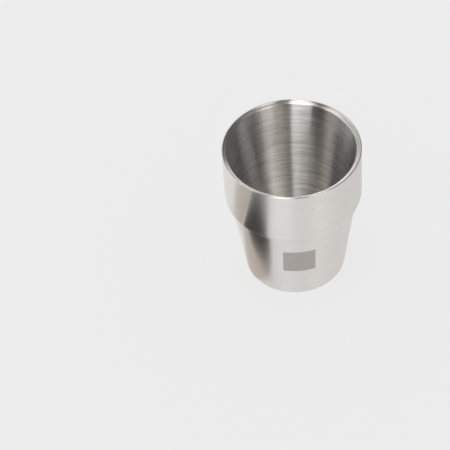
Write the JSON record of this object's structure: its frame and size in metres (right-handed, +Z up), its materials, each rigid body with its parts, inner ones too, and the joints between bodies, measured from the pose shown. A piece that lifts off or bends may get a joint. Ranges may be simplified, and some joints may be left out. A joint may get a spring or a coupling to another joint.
{
  "type": "double-walled metal cup",
  "caption": "Double-walled drawn steel cup: straight collar over a stacking shoulder, tapered body on a foot ring, plain conical liner with a flared lip and a round rim bead.",
  "frame": {"origin": "on the cup's axis, in the plane that the foot ring stands on", "axes": "+Z up along the cup's axis, from the foot to the rim; +X and +Y are square to it, and the etched field faces -Y, turned a little towards +X"},
  "size_m": [0.082, 0.082, 0.096],
  "materials": {
    "outer_steel": "fine satin brushing round the cup, polished at the rim bead, one plain etched field low on the body",
    "inner_steel": "coarser brushing round the inside, polished flared lip"
  },
  "bodies": {
    "root": {"outer_shell": "outer_steel", "inner_liner": "inner_steel"}
  },
  "joints": []
}
